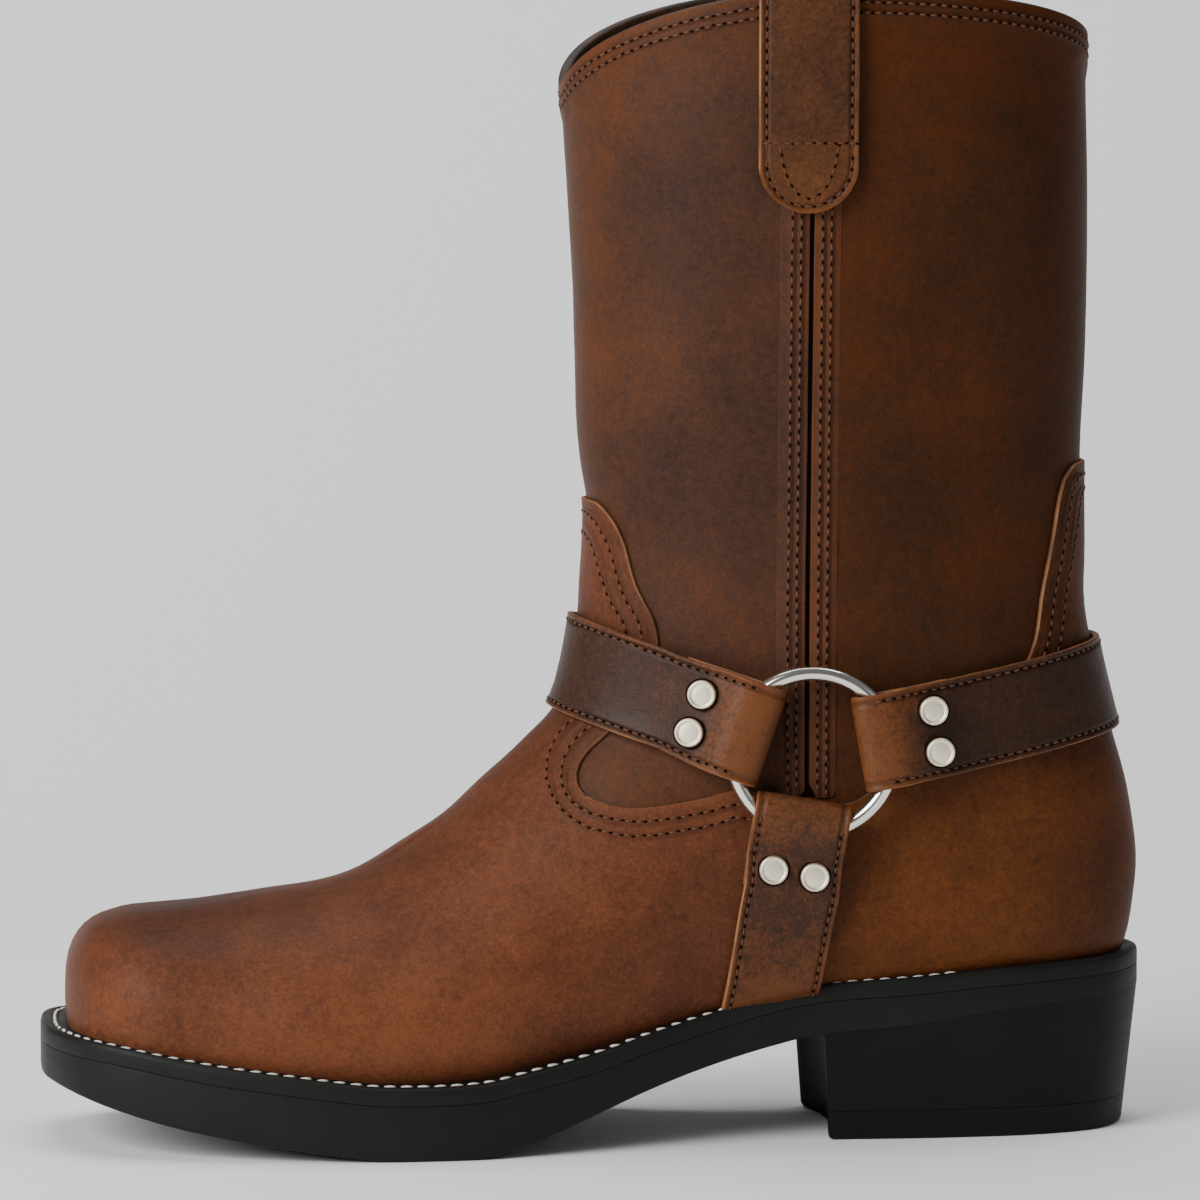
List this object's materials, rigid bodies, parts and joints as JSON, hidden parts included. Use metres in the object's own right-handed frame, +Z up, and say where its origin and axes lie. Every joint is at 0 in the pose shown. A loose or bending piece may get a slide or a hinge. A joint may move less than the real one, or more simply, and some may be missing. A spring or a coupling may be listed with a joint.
{
  "type": "harness boot",
  "caption": "Left harness boot in oiled brown leather, with pull straps, ringed straps held by rivets, a welted rubber sole and a block heel.",
  "frame": {"origin": "on the floor, under the middle of the outsole's length and width", "axes": "+X from toe to heel, +Y to the inner (medial) side, +Z up"},
  "size_m": [0.3092, 0.1136, 0.3377],
  "materials": {
    "shaft_leather": "oiled pull-up leather, dark brown with rust brown where it bends, waxy",
    "vamp_leather": "oiled pull-up leather, rust brown, burnished, waxy",
    "strap_leather": "oiled strap leather, dark brown, rust brown at the folds, raw tan edges",
    "insole_leather": "plain undyed leather",
    "rubber": "matt black rubber",
    "nickel": "polished nickel plate"
  },
  "bodies": {
    "root": {"outsole": "rubber", "welt": "rubber", "heel_block": "rubber", "heel_top_piece": "rubber", "upper": "shaft_leather", "insole": "insole_leather", "vamp": "vamp_leather", "counter": "vamp_leather", "seam_flap_front_lateral": "shaft_leather", "seam_flap_front_medial": "shaft_leather", "seam_flap_back_lateral": "shaft_leather", "seam_flap_back_medial": "shaft_leather", "strap_front": "strap_leather", "strap_back": "strap_leather", "strap_under_lateral": "strap_leather", "strap_under_medial": "strap_leather", "ring_lateral": "nickel", "ring_medial": "nickel", "pull_strap_lateral": "strap_leather", "pull_strap_medial": "strap_leather", "rivet_front_lateral_1": "nickel", "rivet_front_lateral_2": "nickel", "rivet_front_medial_1": "nickel", "rivet_front_medial_2": "nickel", "rivet_back_lateral_1": "nickel", "rivet_back_lateral_2": "nickel", "rivet_back_medial_1": "nickel", "rivet_back_medial_2": "nickel", "rivet_under_lateral_1": "nickel", "rivet_under_lateral_2": "nickel", "rivet_under_medial_1": "nickel", "rivet_under_medial_2": "nickel"}
  },
  "joints": []
}
